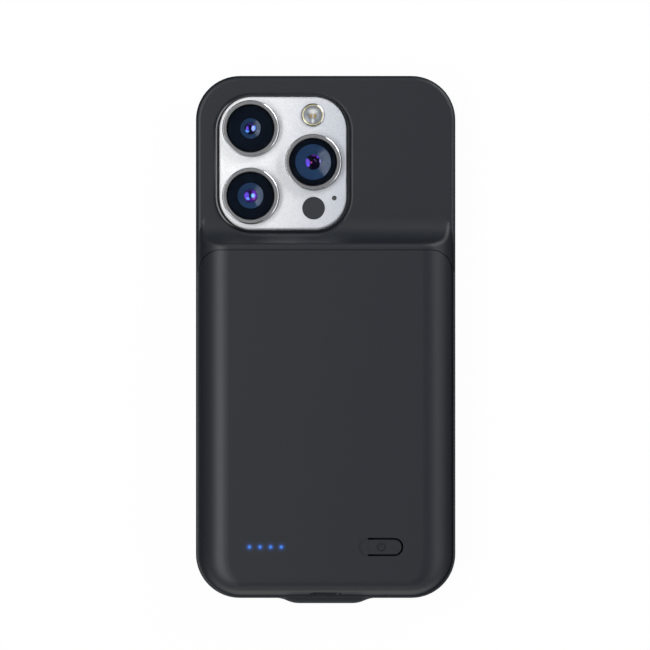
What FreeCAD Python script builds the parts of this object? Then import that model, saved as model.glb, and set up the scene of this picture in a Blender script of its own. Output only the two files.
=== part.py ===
import FreeCAD, Part
import math
import os

os.makedirs("parts", exist_ok=True)

V = FreeCAD.Vector

# The object lies on its front rim: +Z out of the back, +Y to the top of the phone, +X right seen from the back.

# Phone
PHONE_W = 71.5
PHONE_L = 147.5
PHONE_T = 7.85
PHONE_R = 10.8
PHONE_EDGE = 0.4
PANE_T = 0.7
PANE_INSET = 1.1
PANE_GAP = 0.05
PORT_POCKET_L = 7.0

# Side keys of the phone
KEY_H = 2.8
KEY_DEPTH = 1.2
KEY_PROUD = 0.35
KEY_TRAVEL = 0.25
KEY_GAP = 0.1
VOLUME_KEY_L = 9.6
SIDE_KEY_L = 18.0
VOLUME_UP_DROP = 47.2
VOLUME_DOWN_DROP = 61.6
SIDE_KEY_DROP = 57.8
RING_SWITCH_DROP = 33.5
RING_SWITCH_L = 6.0
RING_SWITCH_H = 2.0
RING_SWITCH_THROW = 1.2
RING_SWITCH_PROUD = 0.3
RING_SWITCH_DEPTH = 0.9
RING_SWITCH_GAP = 0.2
RING_POCKET_END = 0.5

# Sleeve around the phone
FIT = 0.1
FIT_Z = 0.05
WALL = 2.3
CHIN = 3.56
LIP_H = 1.05
LIP_W = 1.2
LIP_BEVEL = 0.5
BACK_WALL = 1.7
CASE_R = 12.95
FRONT_EDGE = 1.1
HUMP_RISE = 6.45
SCOOP_DROP = 41.3
SCOOP_R = 8.2
SCOOP_TILT = 70.0
RIM_R = 1.5
STEP_R = 1.6
FLOOR_T = 1.2
REBATE_T = 0.55

# Foot bulge and sound slots
BULGE = 1.54
BULGE_ROOT_W = 30.0
BULGE_FLAT_W = 15.6
BULGE_FRONT = 1.2
BULGE_H = 8.0
BULGE_EDGE = 0.6
BULGE_SINK = 0.05
SOUND_SLOT_L = 12.0
SOUND_SLOT_W = 1.4
SOUND_SLOT_X = 17.5
SOUND_SLOT_DEPTH = 5.0
SOUND_DUCT_H = 2.6

# Key pads and switch window in the sleeve
PAD_H = 3.4
PAD_OVER = 0.7
PAD_GROOVE_W = 0.5
PAD_GROOVE_T = 0.4
KEY_POCKET_GAP = 0.15
SWITCH_WINDOW_L = 9.1
SWITCH_WINDOW_H = 4.0
SWITCH_FLARE = 0.6

# Lid over the battery bay
SEAM = 0.18
SEAM_SIDE = 1.0
SEAM_END = 0.74
RIM_LAND = 0.1
RIM_LAND_R = 0.7
RIM_RAMP_L = 13.0
LID_DROP = 51.31
LID_TOP_R = 6.2
LID_FOOT_R = 12.5
LID_T = 1.4
LID_SHOULDER_R = 8.6
LID_DRAFT = 13.6
LID_END_R = 3.3
LID_LIFT = 0.05
LID_SECTIONS = 4
LID_OVERRUN = 6.0

# Camera window and camera plate
PLATE_W = 37.2
PLATE_L = 38.8
PLATE_R = 9.5
PLATE_SIDE = 23.2
PLATE_DROP = 25.67
PLATE_RISE = 1.65
PLATE_EDGE = 0.4
WINDOW_W = 39.96
WINDOW_L = 40.83
WINDOW_R = 10.8
WINDOW_SHIFT = 0.07
WINDOW_LOWER = 0.14
WINDOW_DRAFT = 20.0
WINDOW_EDGE = 0.9
WINDOW_LEDGE_T = 0.85
WINDOW_GAP = 0.25

# Camera units
LENS_X = 9.2
LENS_Y = 9.9
LENS_LEFT = 0.33
LENS_UP = 0.3
LENS_R = 6.95
LENS_FIT = 0.05
LENS_RING_R = 8.3
LENS_RING_H = 2.2
LENS_RING_BEVEL = 0.4
LENS_SEAT_T = 1.2
LENS_COVER_T = 0.5
LENS_COVER_SINK = 0.25
LENS_LIP_T = 0.12
LENS_SLOPE = 18.0
LENS_ELEMENT_SINK = 0.35
LENS_ELEMENT_H = 0.55
LENS_ELEMENT_CROWN = 0.6
LENS_WELL_R = [3.0, 3.8, 5.2]
LENS_ELEMENT_R = [1.75, 2.0, 2.25]
FLASH_X = 8.78
FLASH_Y = 14.15
FLASH_R = 3.4
FLASH_BEZEL_W = 0.4
FLASH_BEZEL_H = 0.1
FLASH_T = 0.7
FLASH_EMITTER_R = 1.3
FLASH_EMITTER_T = 0.3
DEPTH_X = 9.0
DEPTH_Y = -13.24
DEPTH_R = 3.3
DEPTH_T = 0.7
MIC_X = 15.12
MIC_Y = -10.26
MIC_R = 0.65
MIC_SINK = 0.35
MIC_T = 0.35

# Battery
CELL_SIDE_GAP = 0.7
CELL_TOP_GAP = 1.1
CELL_LID_GAP = 0.35
CELL_R = 2.4
CELL_EDGE = 1.0
TAPE_T = 0.2
TAPE_INSET = 3.0
TAB_W = 4.0
TAB_T = 0.2
TAB_X = 9.0
TAB_L = 4.5

# Circuit board and what it carries
BOARD_W = 54.0
BOARD_L = 19.7
BOARD_T = 0.8
BOARD_R = 6.0
BOARD_GAP = 1.2
BOARD_FOOT_GAP = 3.8
BOSS_R = 2.0
BOSS_X = 23.3
BOSS_INSET = 3.3
CHIP_W = 5.0
CHIP_T = 0.9
CHIP_X = -2.0
COIL_W = 6.0
COIL_T = 2.4
COIL_X = -14.0

# Charge lights and press button, on one line above the foot
LINE_RISE = 15.12
LIGHT_X = -17.7
LIGHT_PITCH = 3.12
LIGHT_COUNT = 4
LIGHT_R = 0.45
LIGHT_GAP = 0.05
LIGHT_BAR_W = 2.2
LIGHT_BAR_T = 0.75
LIGHT_BAR_OVER = 2.4
LIGHT_CHIP_L = 1.6
LIGHT_CHIP_W = 0.8
LIGHT_CHIP_T = 0.5
BUTTON_X = 12.45
BUTTON_L = 9.8
BUTTON_H = 4.24
BUTTON_SLOT = 0.58
BUTTON_ROOT_GAP = 0.03
BUTTON_LINE_W = 0.3
BUTTON_LINE_T = 0.15
BUTTON_BOSS_X = 3.85
BUTTON_BOSS_R = 0.8
BUTTON_BOSS_H = 0.4
SWITCH_W = 4.5
SWITCH_T = 0.65
SWITCH_FLOOR_T = 0.12
STEM_R = 0.9
STEM_GAP = 0.1
STEM_TRAVEL = 0.3

# Charging port in the foot
PORT_W = 8.94
PORT_H = 3.16
PORT_L = 7.4
PORT_SKIN = 0.3
PORT_LIFT = 0.1
PORT_GAP = 0.12
PORT_SIDE_GAP = 0.25
PORT_SET_BACK = 0.35
TONGUE_W = 6.7
TONGUE_T = 0.7
TONGUE_L = 5.4

# Plug that feeds the phone
PLUG_W = 8.25
PLUG_H = 2.4
PLUG_L = 6.5
PLUG_SKIN = 0.3
PLUG_CORE_SET_BACK = 1.4
PLUG_GAP = 0.15
PLUG_BASE_W = 11.0
PLUG_BASE_H = 4.6
PLUG_BASE_L = 1.6
PLUG_BOARD_T = 0.8
PLUG_BOARD_SIDE = 6.0
PLUG_BOARD_REACH = 11.0
PLUG_BOARD_H = 4.8
PLUG_POCKET_GAP = 0.2
FLEX_T = 0.15
FLEX_W = 3.6
FLEX_GAP = 0.2
FLEX_BEND = 0.9
FLEX_LAP = 2.5

# Heights
SCREEN_Z = LIP_H + FIT_Z
PHONE_BACK_Z = SCREEN_Z + PHONE_T
PHONE_MID_Z = SCREEN_Z + PHONE_T / 2
BAY_Z = PHONE_BACK_Z + FIT
BACK_Z = BAY_Z + BACK_WALL
HUMP_Z = BACK_Z + HUMP_RISE
REBATE_Z = BAY_Z + REBATE_T
FLOOR_Z = BAY_Z + FLOOR_T
LEDGE_Z = BACK_Z - WINDOW_LEDGE_T
PLATE_Z = PHONE_BACK_Z + PLATE_RISE
RING_Z = PLATE_Z + LENS_RING_H
LID_IN_Z = HUMP_Z - LID_T
LID_Z = REBATE_Z + LID_LIFT
RIM_Z = LID_Z + RIM_LAND
PORT_Z = FLOOR_Z + PORT_LIFT + PORT_H / 2
BOARD_Z = PORT_Z + PORT_H / 2
BOARD_TOP_Z = BOARD_Z + BOARD_T
BUTTON_BOSS_Z = LID_IN_Z - BUTTON_BOSS_H

# Plan
CASE_W = PHONE_W + 2 * (FIT + WALL)
CASE_L = PHONE_L + 2 * FIT + WALL + CHIN
TOP_Y = (CASE_L + BULGE) / 2
FOOT_Y = TOP_Y - CASE_L
CASE_Y = (TOP_Y + FOOT_Y) / 2
PHONE_TOP_Y = TOP_Y - WALL - FIT
PHONE_FOOT_Y = PHONE_TOP_Y - PHONE_L
LID_X = CASE_W / 2 - SEAM_SIDE
LID_FOOT_Y = FOOT_Y + SEAM_END
LID_TOP_Y = TOP_Y - LID_DROP
PLATE_X = PLATE_SIDE - PHONE_W / 2
PLATE_Y = TOP_Y - PLATE_DROP
WINDOW_X = PLATE_X + WINDOW_SHIFT
WINDOW_Y = PLATE_Y - WINDOW_LOWER
LINE_Y = FOOT_Y + LINE_RISE
CELL_TOP_Y = LID_TOP_Y - LID_T - CELL_TOP_GAP
BOARD_FOOT_Y = FOOT_Y + BOARD_FOOT_GAP
BOARD_TOP_Y = BOARD_FOOT_Y + BOARD_L
CELL_FOOT_Y = BOARD_TOP_Y + BOARD_GAP
LIGHT_XS = [LIGHT_X + (n - (LIGHT_COUNT - 1) / 2) * LIGHT_PITCH for n in range(LIGHT_COUNT)]
TRIO_X = PLATE_X - LENS_LEFT
TRIO_Y = PLATE_Y + LENS_UP
LENS_SPOTS = [
    (TRIO_X - LENS_X, TRIO_Y + LENS_Y),
    (TRIO_X - LENS_X, TRIO_Y - LENS_Y),
    (TRIO_X + LENS_X, TRIO_Y),
]
FLASH_SPOT = (PLATE_X + FLASH_X, PLATE_Y + FLASH_Y)
DEPTH_SPOT = (PLATE_X + DEPTH_X, PLATE_Y + DEPTH_Y)
MIC_SPOT = (PLATE_X + MIC_X, PLATE_Y + MIC_Y)
VOLUME_YS = {"volume_up_key": TOP_Y - VOLUME_UP_DROP, "volume_down_key": TOP_Y - VOLUME_DOWN_DROP}
SIDE_KEY_Y = TOP_Y - SIDE_KEY_DROP
RING_SWITCH_Y = TOP_Y - RING_SWITCH_DROP
PLUG_BOARD_Y = PHONE_FOOT_Y - FIT - PLUG_BASE_L
BEYOND = 1.0
TINY = 1e-4


def save(node, shape):
    """Write one node of the part."""
    shape.exportStep("parts/" + node + ".step")


def outline(x0, x1, y0, y1, foot_r, top_r, z):
    """Closed flat wire: a rectangle with one radius on its foot corners and one on its top corners."""
    corners = [
        (x0 + foot_r, y0 + foot_r, foot_r, 180),
        (x1 - foot_r, y0 + foot_r, foot_r, 270),
        (x1 - top_r, y1 - top_r, top_r, 0),
        (x0 + top_r, y1 - top_r, top_r, 90),
    ]
    edges = []
    ends = []
    for cx, cy, radius, start in corners:
        spots = []
        for turn in (0, 45, 90):
            angle = math.radians(start + turn)
            spots.append(V(cx + radius * math.cos(angle), cy + radius * math.sin(angle), z))
        ends.append(spots)
    for n, spots in enumerate(ends):
        if (spots[2] - spots[0]).Length > TINY:
            edges.append(Part.Arc(*spots).toShape())
        following = ends[(n + 1) % len(ends)][0]
        if (following - spots[2]).Length > TINY:
            edges.append(Part.makeLine(spots[2], following))
    return Part.Wire(edges)


def slab(width, length, radius, cx, cy, z0, z1):
    """Rounded rectangle standing from z0 to z1."""
    wire = outline(cx - width / 2, cx + width / 2, cy - length / 2, cy + length / 2, radius, radius, z0)
    return Part.Face(wire).extrude(V(0, 0, z1 - z0))


def post(radius, cx, cy, z0, z1):
    """Upright round post."""
    return Part.makeCylinder(radius, z1 - z0, V(cx, cy, z0))


def box(x0, x1, y0, y1, z0, z1):
    """Plain box between corner values."""
    return Part.makeBox(x1 - x0, y1 - y0, z1 - z0, V(x0, y0, z0))


def side_slab(length, height, radius, x0, x1, cy, cz):
    """Rounded rectangle in the side plane, reaching from x0 to x1."""
    solid = slab(height, length, radius, 0, 0, 0, x1 - x0)
    solid.rotate(V(0, 0, 0), V(0, 1, 0), 90)
    solid.translate(V(x0, cy, cz))
    return solid


def end_slab(width, height, radius, cx, cz, y0, y1):
    """Rounded rectangle in the foot plane, reaching from y0 to y1."""
    solid = slab(width, height, radius, 0, 0, 0, y1 - y0)
    solid.rotate(V(0, 0, 0), V(1, 0, 0), 90)
    solid.translate(V(cx, y1, cz))
    return solid


def turned(profile, spot):
    """Solid turned from a closed radius and height profile about an upright axis."""
    face = Part.Face(Part.makePolygon([V(r, 0, z) for r, z in profile + profile[:1]]))
    solid = face.revolve(V(0, 0, 0), V(0, 0, 1), 360)
    solid.translate(V(spot[0], spot[1], 0))
    return solid


def edges_at(shape, z):
    """Edges that lie flat at one height."""
    return [e for e in shape.Edges if abs(e.BoundBox.ZMin - z) < TINY and abs(e.BoundBox.ZMax - z) < TINY]


def lid_prism(grow, z0, z1, foot=0):
    """Plan of the lid, grown or shrunk all round and reaching further at the foot, standing from z0 to z1."""
    wire = outline(
        -LID_X - grow,
        LID_X + grow,
        LID_FOOT_Y - grow - foot,
        LID_TOP_Y + grow,
        LID_FOOT_R + grow,
        LID_TOP_R + grow,
        z0,
    )
    return Part.Face(wire).extrude(V(0, 0, z1 - z0))


def lid_side_inset(z, skin):
    """Inset of the lid's long sides at one height, for a surface that lies skin below the outside."""
    rise = z - (HUMP_Z - LID_SHOULDER_R)
    return LID_SHOULDER_R - math.sqrt(max((LID_SHOULDER_R - skin) ** 2 - rise**2, 0))


def lid_end_inset(z, skin):
    """Inset of the lid's drafted foot at one height, for a surface that lies skin below the outside."""
    draft = math.radians(LID_DRAFT)
    core_z = HUMP_Z - LID_END_R
    core = (core_z + LID_END_R * math.sin(draft) - LID_Z) * math.tan(draft) + LID_END_R * math.cos(draft)
    if z < core_z + (LID_END_R - skin) * math.sin(draft):
        return (z - LID_Z) * math.tan(draft) + skin / math.cos(draft)
    return core - math.sqrt(max((LID_END_R - skin) ** 2 - (z - core_z) ** 2, 0))


def lid_outside():
    """Drafted hump whose shoulder radius runs from large on the long sides to small at the foot."""
    lean = math.tan(math.radians(LID_DRAFT))
    low = LID_Z - LID_OVERRUN
    high = LID_TOP_Y + LID_OVERRUN
    base = outline(-LID_X, LID_X, LID_FOOT_Y - LID_OVERRUN * lean, high, LID_FOOT_R, 0, low)
    hump = Part.Face(base).extrude(V(0, (HUMP_Z - low) * lean, HUMP_Z - low))
    doc = FreeCAD.newDocument("lid")
    block = doc.addObject("Part::Feature", "hump")
    block.Shape = hump
    soft = doc.addObject("Part::Fillet", "shoulder")
    soft.Base = block
    radii = []
    for n, edge in enumerate(hump.Edges):
        limits = edge.BoundBox
        if limits.ZMin > HUMP_Z - TINY and limits.YMin < LID_TOP_Y:
            ends = [v.Point.x for v in edge.Vertexes]
            first, last = [LID_SHOULDER_R if abs(x) > LID_X - TINY else LID_END_R for x in ends]
            radii.append((n + 1, first, last))
    soft.Edges = radii
    doc.recompute()
    shape = soft.Shape.copy()
    FreeCAD.closeDocument(doc.Name)
    return shape


def lid_inside():
    """Hollow below the lid's skin, lofted through level outlines."""
    wires = []
    for n in range(LID_SECTIONS + 1):
        z = HUMP_Z - LID_SHOULDER_R + (LID_SHOULDER_R - LID_T) * math.sin(math.pi / 2 * n / LID_SECTIONS)
        side = lid_side_inset(z, LID_T)
        end = lid_end_inset(z, LID_T)
        radius = LID_FOOT_R - (side + end) / 2
        wires.append(
            outline(-LID_X + side, LID_X - side, LID_FOOT_Y + end, LID_TOP_Y + LID_OVERRUN, radius, 0, z)
        )
    return Part.makeLoft(wires, True, True)


def scoop_cutter():
    """Everything behind the thin upper back and the scooped step up to the hump."""
    tilt = math.radians(SCOOP_TILT)
    start = TOP_Y - SCOOP_DROP
    bend = [(start - SCOOP_R * math.sin(a), BACK_Z + SCOOP_R * (1 - math.cos(a))) for a in (0, tilt / 2, tilt)]
    rise = HUMP_Z + BEYOND - bend[2][1]
    crest = (bend[2][0] - rise / math.tan(tilt), HUMP_Z + BEYOND)
    x = -CASE_W
    arc = Part.Arc(*[V(x, y, z) for y, z in bend]).toShape()
    around = [bend[2], crest, (TOP_Y + BEYOND, crest[1]), (TOP_Y + BEYOND, BACK_Z), bend[0]]
    rest = Part.makePolygon([V(x, y, z) for y, z in around])
    wire = Part.Wire([arc] + rest.Edges)
    return Part.Face(wire).extrude(V(2 * CASE_W, 0, 0))


def step_rim(shape):
    """Edges round the scooped step, where it meets the sleeve's shoulders and its crest."""
    faces = []
    for face in shape.Faces:
        kind = face.Surface.TypeId
        bowl = kind == "Part::GeomCylinder" and abs(face.Surface.Radius - SCOOP_R) < TINY
        middle = face.CenterOfMass
        ramp = kind == "Part::GeomPlane" and BACK_Z + TINY < middle.z < HUMP_Z - TINY and middle.y > LID_TOP_Y
        if bowl or ramp:
            faces.append(face)
    counts = {}
    for face in faces:
        for edge in face.Edges:
            key = edge.hashCode()
            counts.setdefault(key, []).append(edge)
    outer = [found[0] for found in counts.values() if len(found) == 1]
    return [edge for edge in outer if edge.BoundBox.ZMax > BACK_Z + TINY]


def sleeve_hump():
    """Loaf that carries the lid's shoulders on past its top edge, as far as the scooped step."""
    start = LID_TOP_Y - LID_TOP_R - BEYOND
    end = TOP_Y - SCOOP_DROP + BEYOND
    core_x = LID_X - LID_SHOULDER_R
    core_z = HUMP_Z - LID_SHOULDER_R
    slope = math.sqrt(0.5) * LID_SHOULDER_R
    edges = []
    for side in (1, -1):
        foot = V(side * LID_X, start, core_z)
        crest = V(side * core_x, start, HUMP_Z)
        edges.append(Part.Arc(foot, V(side * (core_x + slope), start, core_z + slope), crest).toShape())
    edges.append(Part.makeLine(V(core_x, start, HUMP_Z), V(-core_x, start, HUMP_Z)))
    edges.append(Part.makeLine(V(LID_X, start, core_z), V(-LID_X, start, core_z)))
    loaf = Part.Face(Part.Wire(Part.__sortEdges__(edges))).extrude(V(0, end - start, 0))
    loaf = loaf.cut(scoop_cutter())
    return loaf.makeFillet(STEP_R, step_rim(loaf))


def bulge_solid():
    """Swelling on the foot that gives the plug its room, with soft S-shaped flanks."""
    run = (BULGE_ROOT_W - BULGE_FLAT_W) / 2
    deep = BULGE + BULGE_SINK
    radius = (run**2 + deep**2) / (4 * deep)
    half_turn = math.asin(run / 2 / radius) / 2
    across = radius * math.sin(half_turn)
    down = radius * (1 - math.cos(half_turn))
    root_y = FOOT_Y + BULGE_SINK
    flat_y = FOOT_Y - BULGE
    z = BULGE_FRONT
    edges = []
    for side in (1, -1):
        root = V(side * BULGE_ROOT_W / 2, root_y, z)
        flat = V(side * BULGE_FLAT_W / 2, flat_y, z)
        middle = (root + flat) * 0.5
        edges.append(Part.Arc(root, V(root.x - side * across, root_y - down, z), middle).toShape())
        edges.append(Part.Arc(middle, V(flat.x + side * across, flat_y + down, z), flat).toShape())
    flat_half = BULGE_FLAT_W / 2
    root_half = BULGE_ROOT_W / 2
    inner_y = FOOT_Y + WALL
    edges.append(Part.makeLine(V(flat_half, flat_y, z), V(-flat_half, flat_y, z)))
    edges.append(Part.makeLine(V(root_half, root_y, z), V(root_half, inner_y, z)))
    edges.append(Part.makeLine(V(root_half, inner_y, z), V(-root_half, inner_y, z)))
    edges.append(Part.makeLine(V(-root_half, inner_y, z), V(-root_half, root_y, z)))
    solid = Part.Face(Part.Wire(Part.__sortEdges__(edges))).extrude(V(0, 0, BULGE_H))
    flat_edges = edges_at(solid, BULGE_FRONT) + edges_at(solid, BULGE_FRONT + BULGE_H)
    soft = [e for e in flat_edges if e.BoundBox.YMax < FOOT_Y + BULGE_SINK + TINY]
    return solid.makeChamfer(BULGE_EDGE, soft)


def window_cutter():
    """Drafted opening round the camera plate, above the ledge, with the close hole below it."""
    wires = []
    for z in (LEDGE_Z, HUMP_Z):
        spread = (z - BACK_Z) * math.tan(math.radians(WINDOW_DRAFT))
        half_w = WINDOW_W / 2 + spread
        half_l = WINDOW_L / 2 + spread
        radius = WINDOW_R + spread
        x0, x1 = WINDOW_X - half_w, WINDOW_X + half_w
        wires.append(outline(x0, x1, WINDOW_Y - half_l, WINDOW_Y + half_l, radius, radius, z))
    return Part.makeLoft(wires, True, True)


def window_rim(shape):
    """Edges where the camera opening meets the outer surface."""
    reach = HUMP_Z * math.tan(math.radians(WINDOW_DRAFT))
    found = []
    for edge in shape.Edges:
        limits = edge.BoundBox
        across = max(limits.XMax - WINDOW_X, WINDOW_X - limits.XMin) < WINDOW_W / 2 + reach / 2
        along = max(limits.YMax - WINDOW_Y, WINDOW_Y - limits.YMin) < WINDOW_L / 2 + reach / 2
        if across and along and limits.ZMin > BACK_Z - TINY:
            found.append(edge)
    return found


def flex_route():
    """Side view of the flat cable from the plug board, past the phone's foot, to the main board."""
    low_y = PLUG_BOARD_Y + FLEX_T / 2
    mid_y = PHONE_FOOT_Y - FIT - FLEX_BEND / 2
    top_y = BOARD_FOOT_Y - FLEX_BEND / 3
    lap_z = BOARD_Z - FLEX_T / 2
    return [
        (low_y, PHONE_MID_Z),
        (low_y, PHONE_MID_Z + PLUG_BOARD_H / 2),
        (mid_y, PHONE_BACK_Z - FLEX_BEND / 2),
        (mid_y + FLEX_BEND / 2, FLOOR_Z),
        (top_y, BOARD_Z - FLEX_BEND),
        (top_y + FLEX_BEND, lap_z),
        (top_y + FLEX_BEND + FLEX_LAP, lap_z),
    ]


def ribbon(route, thick, x0, x1):
    """Flat band of even thickness along a side-view route."""
    left = []
    right = []
    for n, (y, z) in enumerate(route):
        before = route[max(n - 1, 0)]
        after = route[min(n + 1, len(route) - 1)]
        into = V(0, y - before[0], z - before[1])
        out = V(0, after[0] - y, after[1] - z)
        if into.Length < TINY:
            into = V(out)
        if out.Length < TINY:
            out = V(into)
        into.normalize()
        out.normalize()
        mean = into + out
        mean.normalize()
        reach = thick / 2 / mean.dot(into)
        left.append(V(x0, y - mean.z * reach, z + mean.y * reach))
        right.append(V(x0, y + mean.z * reach, z - mean.y * reach))
    ring = left + right[::-1]
    return Part.Face(Part.makePolygon(ring + ring[:1])).extrude(V(x1 - x0, 0, 0))


def phone_outline(inset, z):
    """Plan of the phone at height z, shrunk by inset."""
    x = PHONE_W / 2 - inset
    radius = PHONE_R - inset
    return outline(-x, x, PHONE_FOOT_Y + inset, PHONE_TOP_Y - inset, radius, radius, z)


def phone_slab(inset, z0, z1):
    """Plan of the phone, shrunk by inset, standing from z0 to z1."""
    return Part.Face(phone_outline(inset, z0)).extrude(V(0, 0, z1 - z0))


def tray_island():
    """Raised middle of the tray floor, which the lid's wall goes round."""
    side = lid_side_inset(FLOOR_Z, LID_T) + SEAM
    end = lid_end_inset(FLOOR_Z, LID_T) + SEAM
    top = LID_T + SEAM
    x = LID_X - side
    wire = outline(-x, x, LID_FOOT_Y + end, LID_TOP_Y - top, LID_FOOT_R - end, LID_TOP_R - top, REBATE_Z)
    return Part.Face(wire).extrude(V(0, 0, FLOOR_Z - REBATE_Z))


def upper_back():
    """Thin back over the phone above the lid, which ramps down to the land beside the lid's top corners."""
    back = slab(CASE_W, CASE_L, CASE_R, 0, CASE_Y, RIM_Z - RIM_R, BACK_Z)
    back = back.makeFillet(RIM_R, edges_at(back, BACK_Z))
    ramp_y = LID_TOP_Y - LID_TOP_R
    route = [
        (FOOT_Y - BEYOND, 0),
        (ramp_y, 0),
        (ramp_y, RIM_Z),
        (ramp_y + RIM_RAMP_L, BACK_Z),
        (ramp_y + RIM_RAMP_L, BACK_Z + BEYOND),
        (FOOT_Y - BEYOND, BACK_Z + BEYOND),
    ]
    side = Part.Face(Part.makePolygon([V(-CASE_W, y, z) for y, z in route + route[:1]]))
    return back.cut(side.extrude(V(2 * CASE_W, 0, 0)))


def case_frame():
    """Soft sleeve round the phone with the upper back, scooped step, battery tray and foot."""
    shell = slab(CASE_W, CASE_L, CASE_R, 0, CASE_Y, 0, RIM_Z)
    shell = shell.makeFillet(RIM_LAND_R, edges_at(shell, RIM_Z))
    shell = shell.makeChamfer(FRONT_EDGE, edges_at(shell, 0))
    shell = shell.fuse([upper_back(), lid_prism(-LID_T / 2, REBATE_Z, BACK_Z), sleeve_hump()]).removeSplitter()
    shell = shell.fuse(bulge_solid())
    shell = shell.cut(window_cutter())
    shell = shell.makeFillet(WINDOW_EDGE, window_rim(shell))
    hole_w = PLATE_W + 2 * WINDOW_GAP
    hole_l = PLATE_L + 2 * WINDOW_GAP
    plate_hole = slab(hole_w, hole_l, PLATE_R + WINDOW_GAP, PLATE_X, PLATE_Y, LIP_H, LEDGE_Z)
    bay = phone_slab(-FIT, LIP_H, BAY_Z)
    outset = LIP_BEVEL * (1 + BEYOND / LIP_H)
    mouth = Part.makeLoft([phone_outline(LIP_W - outset, -BEYOND), phone_outline(LIP_W, LIP_H)], True, True)
    tray = lid_prism(SEAM, FLOOR_Z, HUMP_Z + BEYOND)
    rebate = lid_prism(SEAM, REBATE_Z, FLOOR_Z).cut(tray_island())
    cutters = [plate_hole, bay, mouth, tray, rebate]
    pads = [(1, y, VOLUME_KEY_L) for y in VOLUME_YS.values()] + [(-1, SIDE_KEY_Y, SIDE_KEY_L)]
    for side, y, length in pads:
        inner = PHONE_W / 2 + FIT - TINY
        pocket = PHONE_W / 2 + KEY_PROUD + KEY_POCKET_GAP
        span = sorted((side * inner, side * pocket))
        grown = length + 2 * KEY_POCKET_GAP
        high = KEY_H + 2 * KEY_POCKET_GAP
        low = PHONE_MID_Z - high / 2
        cutters.append(box(span[0], span[1], y - grown / 2, y + grown / 2, low, low + high))
        span = sorted((side * (CASE_W / 2 - PAD_GROOVE_T), side * (CASE_W / 2 + BEYOND)))
        pad_l = length + PAD_OVER
        wide = pad_l + 2 * PAD_GROOVE_W
        tall = PAD_H + 2 * PAD_GROOVE_W
        trench = side_slab(wide, tall, tall / 2, span[0], span[1], y, PHONE_MID_Z)
        cutters.append(trench.cut(side_slab(pad_l, PAD_H, PAD_H / 2, span[0], span[1], y, PHONE_MID_Z)))
    outer = CASE_W / 2
    for flare, start in ((0, PHONE_W / 2), (SWITCH_FLARE, outer - SWITCH_FLARE)):
        long = SWITCH_WINDOW_L + 2 * flare
        high = SWITCH_WINDOW_H + 2 * flare
        cutters.append(side_slab(long, high, high / 2, start, outer + BEYOND, RING_SWITCH_Y, PHONE_MID_Z))
    slot_y = (PHONE_FOOT_Y - FIT + FOOT_Y) / 2
    for side in (1, -1):
        x = side * SOUND_SLOT_X
        cutters.append(slab(SOUND_SLOT_L, SOUND_SLOT_W, SOUND_SLOT_W / 2, x, slot_y, -BEYOND, SOUND_SLOT_DEPTH))
        duct_l = SOUND_SLOT_L - SOUND_SLOT_W
        cutters.append(
            box(
                x - duct_l / 2,
                x + duct_l / 2,
                slot_y,
                PHONE_FOOT_Y,
                SOUND_SLOT_DEPTH - SOUND_DUCT_H,
                SOUND_SLOT_DEPTH,
            )
        )
    gap = PLUG_POCKET_GAP
    cutters.append(
        box(
            -PLUG_BOARD_SIDE - gap,
            PLUG_BOARD_REACH + gap,
            PLUG_BOARD_Y - PLUG_BOARD_T - gap,
            PHONE_FOOT_Y,
            PHONE_MID_Z - PLUG_BOARD_H / 2 - gap,
            PHONE_MID_Z + PLUG_BOARD_H / 2 + gap,
        )
    )
    flex_x0 = PLUG_BOARD_REACH - FLEX_W
    cutters.append(
        ribbon(flex_route(), FLEX_T + 2 * FLEX_GAP, flex_x0 - FLEX_GAP, PLUG_BOARD_REACH + FLEX_GAP)
    )
    for cutter in cutters:
        shell = shell.cut(cutter)
    for x, y in boss_spots():
        shell = shell.fuse(post(BOSS_R, x, y, FLOOR_Z, BOARD_Z))
    return shell.removeSplitter()


def boss_spots():
    """Plan spots of the four bosses that carry the main board."""
    ys = (BOARD_FOOT_Y + BOSS_INSET, BOARD_TOP_Y - BOSS_INSET)
    return [(x, y) for x in (-BOSS_X, BOSS_X) for y in ys]


def button_plan(grow, z0, z1):
    """Tongue outline from its straight root to its round tip, grown above, below and past the tip."""
    half = BUTTON_H / 2 + grow
    centre = BUTTON_X + BUTTON_L - BUTTON_H / 2
    strip = box(BUTTON_X, centre, LINE_Y - half, LINE_Y + half, z0, z1)
    return strip.fuse(post(half, centre, LINE_Y, z0, z1)).removeSplitter()


def back_cover():
    """Hard lid over the battery with its light holes, button slot and port hole."""
    lid = lid_outside().common(lid_prism(0, LID_Z, HUMP_Z + BEYOND, BEYOND))
    lid = lid.cut(lid_inside().common(lid_prism(-LID_T, LID_Z - BEYOND, LID_IN_Z)))
    for x in LIGHT_XS:
        lid = lid.cut(post(LIGHT_R + LIGHT_GAP, x, LINE_Y, LID_IN_Z - BEYOND, HUMP_Z + BEYOND))
    lid = lid.cut(button_plan(BUTTON_SLOT, LID_IN_Z - BEYOND, HUMP_Z + BEYOND))
    line_r = (BUTTON_H + BUTTON_SLOT + BUTTON_LINE_W) / 2
    low = HUMP_Z - BUTTON_LINE_T
    line = post(line_r, BUTTON_X, LINE_Y, low, HUMP_Z + BEYOND)
    line = line.cut(post(line_r - BUTTON_LINE_W, BUTTON_X, LINE_Y, low, HUMP_Z + BEYOND))
    half = box(BUTTON_X - BUTTON_L, BUTTON_X, LINE_Y - BUTTON_L, LINE_Y + BUTTON_L, low, HUMP_Z + BEYOND)
    lid = lid.cut(line.common(half))
    high = PORT_H + 2 * PORT_GAP
    wide = PORT_W + 2 * PORT_SIDE_GAP
    lid = lid.cut(end_slab(wide, high, high / 2 - TINY, 0, PORT_Z, FOOT_Y - BEYOND, BOARD_FOOT_Y))
    return lid


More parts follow.
